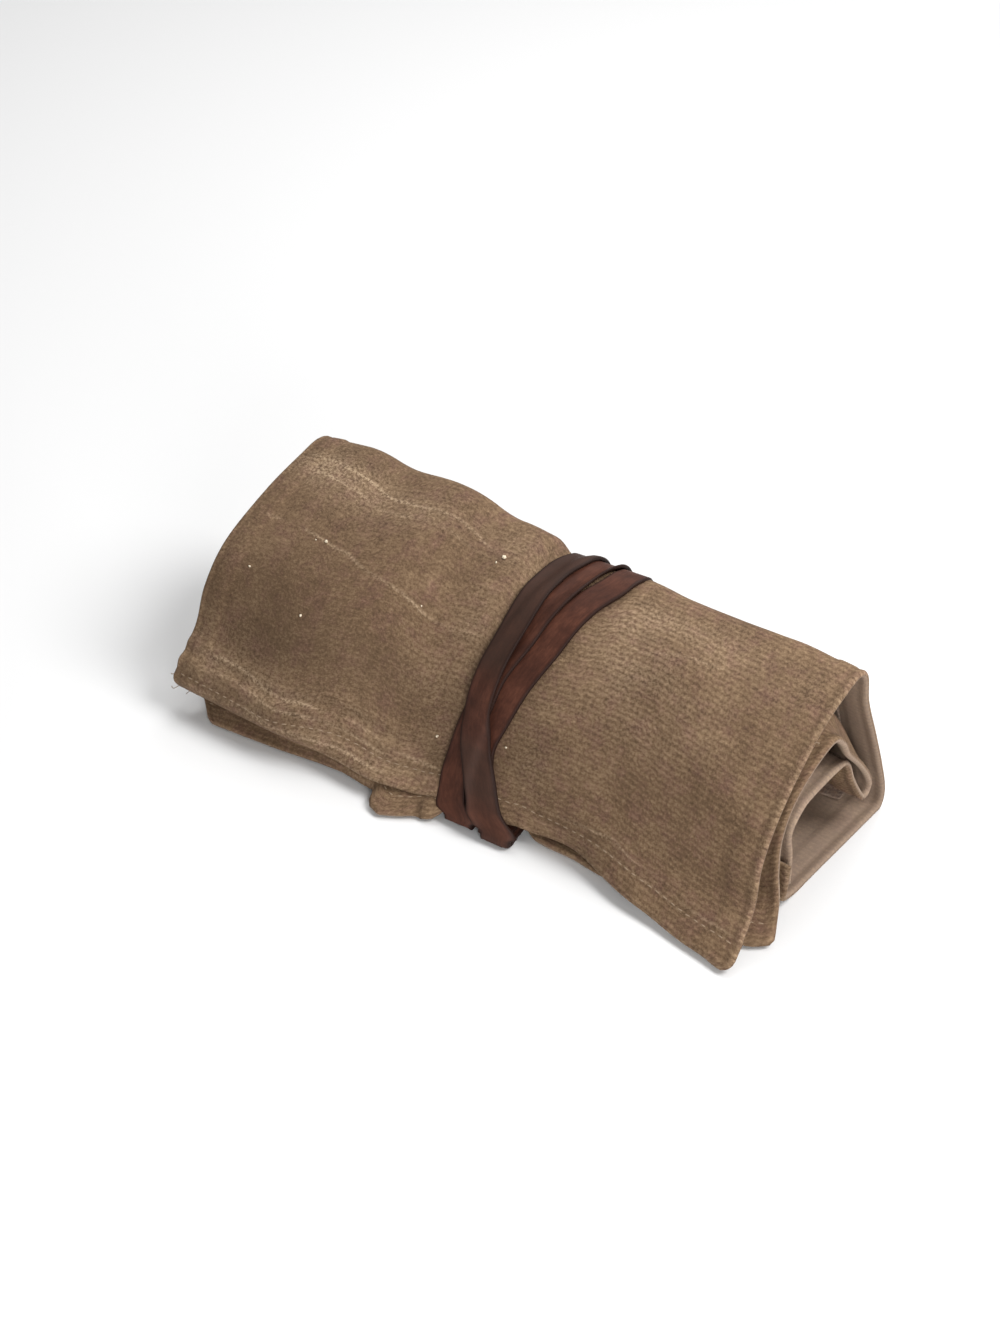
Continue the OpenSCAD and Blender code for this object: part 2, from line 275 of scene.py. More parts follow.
def flapRows(x):
    # x has a row of its own for each point, because the hem runs out past the ends
    rows = []
    for k, (y, z) in enumerate(coverFlap["points"]):
        lean = lapShift(x[k], z) * coverFlap["lean"][k] if k < len(coverFlap["lean"]) else 0
        closing = smooth(*coverFlap["closingBetween"], x[k])
        dy, dz = coverFlap["closing"].get(k, (0, 0))
        rows.append(drawnIn(y - lean + dy * closing, z + dz * closing, tied(x[k], z, True)))
    for y, z, i in coverFlap["front"]:
        xk = x[len(rows)]
        front = shellRows(xk)
        free = 1 - smooth(strap["right"], roll["length"] / 2, xk)
        own = np.array(drawnIn(y, z, tied(xk, z, False)))
        room = cloth["hemThick"] + cloth["plyGap"] + (1.3 if i == 1 else 0.8)
        behind = front[i] - room * outward(front[i - 1], front[i + 1])
        rows.append(own + free * (behind - own))
    xk = x[-2]
    w, hy, hz = tied(xk, 0, False), along(xk, outerShell["hemY"]), along(xk, outerShell["hemZ"])
    y = along(xk, coverFlap["hemY"], 0.8)
    hz = hz + w * roll["hemLift"]
    left = 1 - smooth(strap["left"], 0, xk)
    back = np.maximum(hy + 4.8, y + 1.8)
    lowZ = 2.4 + 3 * smooth(-1, 4, y - hy) * (1 - left) + 2.5 * left
    low = np.array([back + left * (hy + 3.2 - back), lowZ])
    low = low + w * (np.array([hy + 8.2, hz + 4]) - low)
    free = 1 - smooth(strap["right"], roll["length"] / 2, xk)
    own = np.array([np.full_like(xk, value) for value in coverFlap["beforeHem"]])
    rows.append(own + free * (low - own))
    xk = x[-1]
    # the strap passes under the hem there
    raised = smooth(-3, 4, xk) * (1 - smooth(24, 29, xk))
    rows.append((along(xk, coverFlap["hemY"], 0.8), cloth["hemThick"] / 2 + raised * (roll["lift"] - 0.2)))
    return np.array([np.broadcast_arrays(y, z) for y, z in rows])


# From a ply's rows of points to its mesh

def denseCurve(points, steps=16):
    # a smooth curve through rows of points: (rows, 3, columns)
    n = len(points) - 1
    out = []
    for i in range(n):
        p, q, r, s = points[max(0, i - 1)], points[i], points[i + 1], points[min(n, i + 2)]
        out += [catmullRom(p, q, r, s, k / steps) for k in range(steps)]
    out.append(points[n])
    return np.array(out)


def places(length, step):
    # from edge to edge, close together where the edge is rounded
    edge = [0, 0.1, 0.35, 0.75, 1.25, 1.9, 2.8]
    n = int(round((length - 2 * edge[-1] - 2 * step) / step))
    inner = np.linspace(edge[-1] + step, length - edge[-1] - step, n)
    return np.concatenate([edge, inner, [length - e for e in reversed(edge)]])


def layPly(name, controls, x, thick, bumps, corners=(0, 0), hems=(1, 1, 1)):
    # controls: (rows, 3, columns). Gives the ply's two faces as grids, its path and its places
    dense = denseCurve(controls)
    step = np.linalg.norm(np.diff(dense, axis=0), axis=1)
    run = np.vstack([np.zeros(step.shape[1]), np.cumsum(step, 0)])
    length = float(run[-1].mean())
    s = places(length, cloth["stepPath"])
    mid = np.empty((len(s), 3, len(x)))
    for j in range(len(x)):
        at = s / length * run[-1, j]
        for a in range(3):
            mid[:, a, j] = np.interp(at, run[:, j], dense[:, a, j])
    pathS = np.repeat(s[:, None], len(x), 1)
    toEnd = length - pathS
    wide = x[-1] - x[0]
    fromLeft = np.repeat((x - x[0])[None], len(s), 0)
    fromRight = wide - fromLeft
    # rounded corners: the ends are pulled in near the hem
    for r, d in zip(corners, (pathS, toEnd)):
        if r:
            cut = r * (1 - np.sqrt(1 - np.clip(1 - d / r, 0, 1) ** 2))
            mid[:, 0] += cut * (1 - smooth(0, 12, fromLeft)) - cut * (1 - smooth(0, 12, fromRight))
    normal = np.cross(np.gradient(mid, axis=2), np.gradient(mid, axis=0), axis=1)
    normal /= np.linalg.norm(normal, axis=1)[:, None]
    mid = mid + (bumps(mid[:, 0], pathS, toEnd))[:, None] * normal
    # distance to the nearest side and end that has a hem
    sideHem, startHem, endHem = hems
    far = 99
    side = np.minimum(fromLeft, fromRight) + (0 if sideHem else far)
    across = np.minimum(pathS + (0 if startHem else far), toEnd + (0 if endHem else far))
    fromHem = np.minimum(side, across)
    hem = 1 - smooth(cloth["hemWidth"] - 1.2, cloth["hemWidth"] + 0.8, fromHem)
    seam = np.maximum(np.exp(-(((side - cloth["sideSeam"]) / 0.8) ** 2)),
                      np.exp(-(((across - cloth["hemSeam"]) / 0.9) ** 2)))
    t = thick + hem * (cloth["hemThick"] - thick) - cloth["seamPull"] * seam
    fromEdge = np.minimum(np.minimum(fromLeft, fromRight), np.minimum(pathS, toEnd))
    half = t / 2 * np.sqrt(1 - np.clip(1 - fromEdge / (t / 2), 0, 1) ** 2)
    outer, inner = mid + half[:, None] * normal, mid - half[:, None] * normal
    for face in (outer, inner):
        face[:, 2] = np.maximum(face[:, 2], 0.0)
    return {"name": name, "outer": outer, "inner": inner, "normal": normal, "s": s, "x": x,
            "length": length, "edge": fromHem, "seam": seam}


def quads(grid):
    return np.stack([grid[:-1, :-1], grid[:-1, 1:], grid[1:, 1:], grid[1:, :-1]], -1).reshape(-1, 4)


def plyMesh(ply, rub, liningSide="inner"):
    outer, inner = ply["outer"], ply["inner"]
    rows, _, cols = outer.shape
    a = inFrame(outer.transpose(0, 2, 1)).reshape(-1, 3)
    b = inFrame(inner.transpose(0, 2, 1)).reshape(-1, 3)
    count = rows * cols
    index = np.arange(count).reshape(rows, cols)
    # the two faces share the points on the ply's edge
    within = np.ones((rows, cols), bool)
    within[[0, -1]] = False
    within[:, [0, -1]] = False
    under = index.copy()
    under[within] = count + np.arange(within.sum())
    within = within.reshape(-1)
    mesh = bpy.data.meshes.new(ply["name"])
    faces = np.vstack([quads(index), quads(under)[:, ::-1]])
    mesh.from_pydata(np.vstack([a, b[within]]).tolist(), [], faces.tolist())
    gridX, gridS = np.repeat(ply["x"][None], rows, 0), np.repeat(ply["s"][:, None], cols, 1)
    u, v = gridX.reshape(-1), gridS.reshape(-1)
    innerShift = 400  # the inner face has cloth of its own
    uv = np.stack([np.concatenate([u, u[within] + innerShift]), np.concatenate([v, v[within]])], 1)
    loops = np.empty(len(mesh.loops), int)
    mesh.loops.foreach_get("vertex_index", loops)
    layer = mesh.uv_layers.new(name="clothMm")
    layer.data.foreach_set("uv", uv[loops].astype(np.float32).reshape(-1))
    marks = dict(rub(gridX, gridS, ply))
    # the seam mark also carries painted shade into the material
    marks["seam"] = ply["seam"]
    marks["inside"] = np.full((rows, cols), float(liningSide == "outer"))
    for mark, value in marks.items():
        flat = value.reshape(count, -1)
        lower = 1 - flat[within] if mark == "inside" else flat[within] * (0.3 if mark != "seam" else 1)
        vector = flat.shape[1] == 3
        attribute = mesh.attributes.new(mark, "FLOAT_VECTOR" if vector else "FLOAT", "POINT")
        values = np.concatenate([flat, lower]).astype(np.float32).reshape(-1)
        attribute.data.foreach_set("vector" if vector else "value", values)
    mesh.shade_smooth()
    mesh.validate()
    return addObject(ply["name"], mesh)


# Materials

def colour(hexCode):
    # sRGB to the linear values that the shaders take
    parts = [int(hexCode[i:i + 2], 16) / 255 for i in (1, 3, 5)]
    return [v / 12.92 if v <= 0.04045 else ((v + 0.055) / 1.055) ** 2.4 for v in parts] + [1]


def addNode(tree, kind, settings=None):
    # a setting is a property, an input's value, or another node or its output to link to that input
    node = tree.nodes.new(kind)
    for key, value in (settings or {}).items():
        if isinstance(value, bpy.types.Node):
            value = value.outputs[0]
        if isinstance(value, bpy.types.NodeSocket):
            tree.links.new(value, node.inputs[key])
        elif isinstance(key, str) and hasattr(node, key):
            setattr(node, key, value)
        else:
            node.inputs[key].default_value = value
    return node


def setStops(stops, hexCodes):
    # three colours along a colour ramp
    stops.new(0.5)
    for element, place, hexCode in zip(stops, (0.0, 0.5, 1.0), hexCodes):
        element.position = place
        element.color = colour(hexCode)


def newMaterial(name):
    material = bpy.data.materials.new(name)
    material.use_nodes = True
    material.node_tree.nodes.clear()
    return material, material.node_tree


# Cotton duck, woven and then filled with wax: matt, mottled olive and red-brown, with painted shade in darker
# patches, and pale in the ridges and lines where it was folded or rubbed
waxedCanvas = {
    "olive": ("#463422", "#6b543e", "#91785c"),
    "red": ("#463127", "#6b5040", "#8e705b"),
    "rubbed": "#b9a184",
    # inside faces: paler for holding less wax, and paler still as painted light for the lit hollow at the
    # open end
    "inner": "#998677",
    "roughness": 0.85,
    "specular": 0.3,
    "bumpMm": 0.22,
    "ribMm": 2.0,  # such ribs are under 1 mm, too fine to show here, so they are drawn this coarse
    "ribSway": 0.8,
    "drawnOut": (0.85, 1, 1),
    # features in 1 mm of cloth, detail, roughness, are they drawn out along the roll
    "patterns": {
        "sway": (0.05, 2.0, 0.5, False),
        "grain": (1.0, 4.0, 0.7, True),  # the nubs of the yarn, again as coarse as they need to be to show
        "fibres": (2.1, 2.0, 0.6, True),
        "clouds": (0.055, 3.0, 0.6, True),
        "breaks": (0.3, 2.0, 0.5, True),
        "patches": (0.3, 2.0, 0.5, False),
        "mottle": (0.13, 3.0, 0.7, False),
    },
    "lineMm": 1.05,  # half the width of a rubbed line
}
# The same duck brushed on its face: softer and greyer
brushedPocketCloth = {**waxedCanvas, "olive": ("#5a4a40", "#7b695d", "#938072")}


def canvasMaterial(name, look):
    material, tree = newMaterial(name)
    uv = addNode(tree, "ShaderNodeUVMap", {"uv_map": "clothMm"})
    place = addNode(tree, "ShaderNodeSeparateXYZ", {"Vector": uv}).outputs
    drawn = addNode(tree, "ShaderNodeMapping", {"Vector": uv, "Scale": look["drawnOut"]})
    noise = {}
    for pattern, (perMm, detail, rough, drawnOut) in look["patterns"].items():
        noise[pattern] = addNode(tree, "ShaderNodeTexNoise", {
            "Vector": drawn if drawnOut else uv, "Scale": perMm, "Detail": detail, "Roughness": rough,
        }).outputs["Fac"]
    marks = {}
    for mark in ("inside", "worn", "waxed", "seam"):
        marks[mark] = addNode(tree, "ShaderNodeAttribute", {"attribute_name": mark}).outputs["Fac"]

    # ribs across the path, plainer at the left end
    swayed = addNode(tree, "ShaderNodeMath", {
        "operation": "MULTIPLY_ADD", 0: noise["sway"], 1: look["ribSway"], 2: place["Y"]})
    angle = addNode(tree, "ShaderNodeMath", {
        "operation": "MULTIPLY", 0: swayed, 1: 2 * math.pi / look["ribMm"]})
    ribs = addNode(tree, "ShaderNodeMath", {"operation": "SINE", 0: angle})
    broken = addNode(tree, "ShaderNodeMath", {"operation": "MULTIPLY", 0: ribs, 1: noise["breaks"]})
    ribbed = addNode(tree, "ShaderNodeMapRange", {
        "Value": place["X"], "From Min": -70, "From Max": 40, "To Min": 0.03, "To Max": 0.1})
    woven = addNode(tree, "ShaderNodeMath", {
        "operation": "MULTIPLY_ADD", 0: broken, 1: ribbed, 2: noise["grain"]})
    height = addNode(tree, "ShaderNodeMath", {
        "operation": "MULTIPLY_ADD", 0: noise["fibres"], 1: 0.36, 2: woven})

    # tone follows the height and the clouds of wax
    cloudy = addNode(tree, "ShaderNodeMath", {
        "operation": "MULTIPLY_ADD", 0: noise["clouds"], 1: 0.46, 2: height})
    patchy = addNode(tree, "ShaderNodeMath", {
        "operation": "MULTIPLY_ADD", 0: noise["patches"], 1: 0.35, 2: cloudy})
    tone = addNode(tree, "ShaderNodeMapRange", {"Value": patchy, "From Min": 0.775, "From Max": 1.395})
    olive = addNode(tree, "ShaderNodeValToRGB", {"Fac": tone})
    setStops(olive.color_ramp.elements, look["olive"])
    red = addNode(tree, "ShaderNodeValToRGB", {"Fac": tone})
    setStops(red.color_ramp.elements, look["red"])
    mottle = addNode(tree, "ShaderNodeMapRange", {
        "Value": noise["mottle"], "From Min": 0.47, "From Max": 0.7})
    dyed = addNode(tree, "ShaderNodeMix", {"data_type": "RGBA", 0: mottle, 6: olive, 7: red})

    # rubbed lines: distance to each line in mm and its strength come with the mesh, three lines at a time
    lineAt = addNode(tree, "ShaderNodeAttribute", {"attribute_name": "lineAt"}).outputs["Vector"]
    depth = addNode(tree, "ShaderNodeAttribute", {"attribute_name": "lineDepth"}).outputs["Vector"]
    ragged = addNode(tree, "ShaderNodeMapRange", {"Value": noise["grain"], "To Min": -0.7, "To Max": 0.7})
    moved = addNode(tree, "ShaderNodeVectorMath", {"operation": "ADD", 0: lineAt, 1: ragged})
    near = addNode(tree, "ShaderNodeVectorMath", {"operation": "ABSOLUTE", 0: moved})
    inLine = addNode(tree, "ShaderNodeMapRange", {
        "data_type": "FLOAT_VECTOR", "interpolation_type": "SMOOTHSTEP",
        6: near, 8: (look["lineMm"],) * 3, 9: (1.0,) * 3, 10: (0.0,) * 3})
    lines = addNode(tree, "ShaderNodeVectorMath", {
        "operation": "DOT_PRODUCT", 0: inLine.outputs[1], 1: depth}).outputs["Value"]
    wear = addNode(tree, "ShaderNodeMath", {"operation": "ADD", 0: lines, 1: marks["worn"]})
    onRidges = addNode(tree, "ShaderNodeMapRange", {
        "Value": height, "From Min": 0.58, "From Max": 0.82, "To Min": 0.05})
    wornRidges = addNode(tree, "ShaderNodeMath", {"operation": "MULTIPLY", 0: wear, 1: onRidges})
    rubbed = addNode(tree, "ShaderNodeClamp", {"Value": wornRidges, "Max": 0.9})

    # one colour over another: how much of it, and which
    # inside faces take the paler colour: less wax, and partly painted light
    insidePaleAndLit = addNode(tree, "ShaderNodeMath", {"operation": "MULTIPLY", 0: marks["inside"], 1: 0.55})
    # painted shade along the sunken seam lines and the slit: darker along them
    seamShade = addNode(tree, "ShaderNodeMath", {"operation": "MULTIPLY", 0: marks["seam"], 1: 0.3})
    face = dyed.outputs[2]
    darkest = look["olive"][0]
    # painted shade in patches comes with the mesh and is mixed towards the darkest olive
    layers = ((insidePaleAndLit, look["inner"]), (rubbed, look["rubbed"]), (marks["waxed"], darkest), (seamShade, darkest))
    for amount, shade in layers:
        face = addNode(tree, "ShaderNodeMix", {
            "data_type": "RGBA", 0: amount, 6: face, 7: colour(shade)}).outputs[2]
    bump = addNode(tree, "ShaderNodeBump", {
        "Height": height, "Strength": 0.8, "Distance": look["bumpMm"] * 0.001})
    surface = addNode(tree, "ShaderNodeBsdfPrincipled", {
        "Base Color": face, "Normal": bump,
        "Roughness": look["roughness"], "Specular IOR Level": look["specular"]})
    addNode(tree, "ShaderNodeOutputMaterial", {"Surface": surface})
    return material


# Cowhide strap, cut and then oiled: a dull sheen, dark burnished edges with painted shade along them, darker
# and greyer where it is handled
oiledLeather = {
    "hide": ("#311a13", "#4a2a1f", "#643c2d"),
    # the burnished edge colour, also used as painted shade beside the edges
    "edge": "#1f100b",
    "handled": "#362821",
    "roughness": 0.6,
    "specular": 0.18,
    "bumpMm": 0.12,
    # features in 1 mm of leather; pores are finer, and drawn as coarse as they need to be to show
    "cloudsPerMm": 0.1,
    "streaksPerMm": 1.3,
    "poresPerMm": 1.4,
    "pulledLong": (1, 0.22, 1),
}


def leatherMaterial(name, look):
    material, tree = newMaterial(name)
    uv = addNode(tree, "ShaderNodeUVMap", {"uv_map": "strapMm"})
    pulled = addNode(tree, "ShaderNodeMapping", {"Vector": uv, "Scale": look["pulledLong"]})
    clouds = addNode(tree, "ShaderNodeTexNoise", {
        "Vector": uv, "Scale": look["cloudsPerMm"], "Detail": 5.0, "Roughness": 0.62})
    streaks = addNode(tree, "ShaderNodeTexNoise", {
        "Vector": pulled, "Scale": look["streaksPerMm"], "Detail": 3.0})
    pores = addNode(tree, "ShaderNodeTexVoronoi", {"Vector": uv, "Scale": look["poresPerMm"]})
    mottled = addNode(tree, "ShaderNodeMath", {"operation": "MULTIPLY_ADD", 0: streaks, 1: 0.45, 2: clouds})
    tone = addNode(tree, "ShaderNodeMapRange", {"Value": mottled, "From Min": 0.4, "From Max": 1.05})
    hide = addNode(tree, "ShaderNodeValToRGB", {"Fac": tone})
    setStops(hide.color_ramp.elements, look["hide"])
    face = hide.outputs["Color"]
    # handled wear, then the dark rim: burnished edges and painted shade beside them
    for mark, layer in (("handled", "handled"), ("rimBurnishAndShade", "edge")):
        amount = addNode(tree, "ShaderNodeAttribute", {"attribute_name": mark}).outputs["Fac"]
        face = addNode(tree, "ShaderNodeMix", {
            "data_type": "RGBA", 0: amount, 6: face, 7: colour(look[layer])}).outputs[2]
    height = addNode(tree, "ShaderNodeMath", {"operation": "MULTIPLY_ADD", 0: pores, 1: 0.5, 2: streaks})
    bump = addNode(tree, "ShaderNodeBump", {
        "Height": height, "Strength": 0.35, "Distance": look["bumpMm"] * 0.001})
    surface = addNode(tree, "ShaderNodeBsdfPrincipled", {
        "Base Color": face, "Normal": bump,
        "Roughness": look["roughness"], "Specular IOR Level": look["specular"]})
    addNode(tree, "ShaderNodeOutputMaterial", {"Surface": surface})
    return material


def plainMaterial(name, hexCode, roughness):
    material, tree = newMaterial(name)
    surface = addNode(tree, "ShaderNodeBsdfPrincipled", {
        "Base Color": colour(hexCode), "Roughness": roughness})
    addNode(tree, "ShaderNodeOutputMaterial", {"Surface": surface})
    return material


canvas = canvasMaterial("waxedCanvas", waxedCanvas)
lining = canvasMaterial("brushedPocketCloth", brushedPocketCloth)
leather = leatherMaterial("oiledLeather", oiledLeather)
# Spun thread, waxed: pale and matt. Wax that dried and crumbled: chalky flecks
thread = plainMaterial("waxedThread", "#8f7a63", 0.8)
dryWax = plainMaterial("dryWaxCrumbs", "#d8cab2", 0.8)
print("materials made")

# Lay the shell

xs = places(roll["length"], cloth["stepX"]) - roll["length"] / 2


def endRun(x, left, right):
    # how far an edge runs out past the roll's ends
    return right * smooth(80, 110, x) - left * smooth(-80, -110, x)


def hemRoll(s, at, wide, dip, dipWide, share):
    # a soft roll along the hem, at this path from it, with a dip below it
    return np.exp(-(((s - at) / wide) ** 2)) - share * np.exp(-(((s - dip) / dipWide) ** 2))


def shellBumps(x, s, toEnd):
    # waves of the front, pulls towards the strap, and two soft rolls from the turned cloth inside the hem
    near = np.exp(-((np.maximum(0, np.abs(x - strap["middle"]) - 14) / 22) ** 2))
    pulls = softNoise(x * 0.5, s, 9, 4) * near * 0.55
    waves = softNoise(x, s, 34, 1) * 0.7 + softNoise(x, s, 15, 2) * 0.25 + pulls
    bump = smooth(2, 20, s) * (1 - smooth(95, 125, s)) * waves
    left = 1 - smooth(-30, 0, x)
    bump = bump + (0.35 + 0.35 * left) * hemRoll(s, 12.5, 1.7, 9, 1.5, 0.8)
    bump = bump + left * 0.5 * hemRoll(s, 19, 1.8, 15.8, 1.4, 0.7)
    return bump * (1 - tied(x, 10, False) * 0.8)


rubbing = {
    # channel, strength and the line itself: place along the roll and path from the hem
    "scratches": [
        (0, 0.7, [(-107, 97), (-92, 95), (-75, 94.5), (-55, 89.5), (-30, 89.5), (-22, 87)]),
        (1, 0.62, [(-100, 90), (-77, 88.4), (-57, 85), (-26, 84.5), (-14, 84)]),
        (2, 0.6, [(-103, 69), (-76, 68.2), (-66, 68), (-56, 62.6),
                  (-46, 60), (-38, 58.5), (-33, 58.1), (-10, 57)]),
        (0, 0.65, [(-107, 13), (-96, 18), (-85, 19), (-62, 15.8), (-52, 14.4), (-30, 13.4), (-7, 10)]),
        (1, 0.6, [(-108, 11), (-100, 13), (-87, 14.1), (-62, 12), (-49, 11), (-24, 9.4)]),
        (2, 0.55, [(-106, 5), (-92, 6.5), (-77, 8.2), (-62, 6.5), (-49, 4.6), (-24, 4)]),
        (0, 0.42, [(22, 7), (36, 10.3), (60, 13), (69, 11.5), (78, 12.2), (92, 9.5), (107, 10)]),
        (1, 0.3, [(30, 6), (60, 8.8), (107, 8)]),
        (2, 0.28, [(33, 74), (44, 71.5), (60, 78), (75, 80)]),
    ],
    # painted shade: darker patches on the left front and on the right front; and paler where the wax has
    # bloomed:
    # place along the roll, path from the hem, size both ways, strength
    "paintedShadePatches": [
        (-88, 44, 26, 22, 0.38), (-50, 34, 26, 14, 0.32), (76, 34, 26, 16, 0.12),
    ],
    "bloom": [
        (-92, 93, 22, 9, 0.48), (-50, 90, 26, 7, 0.26), (38, 76, 12, 12, 0.3), (66, 86, 30, 8, 0.22),
        (-100, 20, 14, 8, 0.3), (-62, 16, 30, 5, 0.3), (24, 20, 8, 14, 0.16), (-14, 60, 8, 26, 0.2),
        (-60, 6, 40, 4, 0.28), (92, 92, 20, 6, 0.04), (44, 58, 34, 20, 0.12),
    ],
}


def blots(x, s, table):
    # soft patches, as strong as the table says
    return sum(strength * np.exp(-(((x - bx) / wide) ** 2) - ((s - bs) / tall) ** 2)
               for bx, bs, wide, tall, strength in table)


def shellRub(x, s, ply):
    # for each channel the nearest scratch: the distance to it and its strength
    at, depth, score = np.zeros(x.shape + (3,)), np.zeros(x.shape + (3,)), np.full(x.shape + (3,), 1e9)
    for channel, strength, points in rubbing["scratches"]:
        px, ps = zip(*points)
        d = s - np.interp(x, px, ps) - 0.6 * softNoise(x, 0 * s, 9, channel + 40)
        alongIt = smooth(px[0] - 2, px[0] + 5, x) * (1 - smooth(px[-1] - 6, px[-1] + 3, x))
        rank = np.abs(d) + 60 * (1 - alongIt)
        better = rank < score[..., channel]
        score[..., channel] = np.where(better, rank, score[..., channel])
        at[..., channel] = np.where(better, np.clip(d, -12, 12), at[..., channel])
        patchy = np.clip(0.62 + 0.8 * softNoise(x, s, 11, 60 + channel), 0, 1)
        shown = strength * alongIt * np.exp(-((d / 5) ** 2)) * patchy
        depth[..., channel] = np.where(better, shown, depth[..., channel])
    worn = 0.06 * np.clip(softNoise(x, s, 26, 7) + 0.3, 0, 1) + blots(x, s, rubbing["bloom"])
    worn = worn * np.clip(0.8 + 0.5 * softNoise(x * 0.6, s, 7, 33), 0, 2)
    worn = worn + 0.22 * np.exp(-((ply["edge"] / 1.3) ** 2))
    # painted shade: darker patches, at most half way to the darkest olive
    waxed = np.clip(blots(x, s, rubbing["paintedShadePatches"]), 0, 0.5)
    return {"worn": np.clip(worn, 0, 1), "lineAt": at, "lineDepth": depth, "waxed": waxed}


def plainRub(x, s, ply):
    # hardly worn except at the edges
    worn = 0.08 * (softNoise(x, s, 20, 12) + 0.5) + 0.16 * np.exp(-((ply["edge"] / 1.5) ** 2))
    return {"worn": np.clip(worn, 0, 1)}


shellSection = shellRows(xs)
shellX = np.array([xs + endRun(xs, *outerShell["out"].get(i, (0, 0))) for i in range(len(shellSection))])
shell = layPly("outerShell", np.stack([shellX, shellSection[:, 0], shellSection[:, 1]], 1), xs,
               cloth["thick"], shellBumps, outerShell["corners"])
shellPiece = plyMesh(shell, shellRub)

# Lay the flap

flapCount = len(coverFlap["points"]) + len(coverFlap["front"]) + 2
flapX = []
for row in range(flapCount, 0, -1):
    left, right = coverFlap["out"].get(row, (0, 0))
    flapX.append(xs + endRun(xs, -left, right))
flapX = np.array(flapX)
flapSection = flapRows(flapX)


def slit(x, toEnd):
    # a short cut from the hem, leaning to the left
    d = (x - coverFlap["slitX"] + 0.5 * toEnd) / coverFlap["slitWide"]
    return np.exp(-(d**2)) * (1 - smooth(5, 8, toEnd))


def flapBumps(x, s, toEnd):
    waves = softNoise(x, s, 30, 21) * 0.5 + softNoise(x, s, 12, 22) * 0.2
    return waves * smooth(16, 30, s) * smooth(60, 90, toEnd) + coverFlap["slitDeep"] * slit(x, toEnd)


flap = layPly("coverFlap", np.stack([flapX, flapSection[:, 0], flapSection[:, 1]], 1), xs,
              cloth["thick"], flapBumps, coverFlap["corners"])
# the slit's groove is painted dark through the seam mark, as painted shade
flap["seam"] = flap["seam"] + 3 * slit(xs[None], flap["length"] - flap["s"][:, None])
flapPiece = plyMesh(flap, plainRub, liningSide="outer")

# Lay the pocket panel on the inside of the shell's back

pocketPanel = {
    "width": 196,
    "step": 1.6,
    "thick": 0.9,
    "rows": range(14, 8, -1),  # it lies on these rows of the shell
    "room": 1.4,  # between the middles of the two cloths
    "seam": 2.2,
}
pocketX = places(pocketPanel["width"], pocketPanel["step"]) - pocketPanel["width"] / 2
onShell = shellRows(pocketX)
pocketPath = np.array([onShell[i] - pocketPanel["room"] * outward(onShell[i - 1], onShell[i + 1])
                       for i in pocketPanel["rows"]])
pocketGrid = np.stack([np.repeat(pocketX[None], len(pocketPath), 0), pocketPath[:, 0], pocketPath[:, 1]], 1)


def noBumps(x, s, toEnd):
    return 0 * s


pocket = layPly("pocketPanel", pocketGrid, pocketX, pocketPanel["thick"], noBumps, hems=(0, 0, 0))
pocketPiece = plyMesh(pocket, plainRub)
for piece, material in ((shellPiece, canvas), (flapPiece, canvas), (pocketPiece, lining)):
    piece.data.materials.append(material)
print("canvas laid:", round(shell["length"]), round(flap["length"]), round(pocket["length"]), "mm of path")

# The strap: one strip in three turns, each lying on the turns below it

winding = {
    # turn, way round from the front hem, place along the roll
    "run": [
        (0, -34, 19), (0, 0, 19.5), (0, 8, 12), (0, 15, 7.5), (0, 25, 4.6), (0, 29, 4.9), (0, 37, 6.9),
        (0, 50, 9.9), (0, 64, 14.2), (0, 74, 16), (0, 83, 18.6), (0, 91, 22.5), (0, 99, 24.5),
        (0, 124, 21), (0, 153, 15.5), (0, 191, 13),
        (1, 0, 6.6), (1, 2.1, 4.2), (1, 5, 1.8), (1, 8, 0.9), (1, 13.5, -1), (1, 20, -1.5),
        (1, 27, -1.5), (1, 38, 0), (1, 50, 1), (1, 57, 3), (1, 63, 4.9), (1, 73, 6.2), (1, 85, 8.8),
        (1, 93, 10.6), (1, 101, 13.5), (1, 112, 14.5), (1, 153, 17.5), (1, 202, 19),
        (2, 0, 21.5), (2, 2.7, 18.6), (2, 5, 15.8), (2, 8, 13.6), (2, 14.5, 9.8), (2, 19, 7.2),
        (2, 25, 4), (2, 32, 1.6), (2, 38, 0.2), (2, 52, -0.2), (2, 65, 0.3), (2, 80, 0), (2, 90, 1.4),
        (2, 97, 4.2), (2, 112, 5.8), (2, 135, 3), (2, 202, 2.4),
    ],
    # turns from the start, and how dark and grey the strap is worn there
    "handled": (
        (0, 0.1, 0.4, 0.97, 1.0, 1.12, 1.2, 1.9, 1.96, 2.015, 2.045, 2.093, 2.113, 2.172, 2.203, 3),
        (0.1, 0, 0.1, 0.2, 0.1, 0.0, 0.1, 0.2, 0.35, 0.3, 0.7, 0.7, 0.15, 0.15, 0.72, 0.78),
    ),
    "grid": (-16, 42, 0.35),  # fine places along the roll: from, to and step
    "ease": 5,  # steps over which the strap climbs onto a turn below it
}


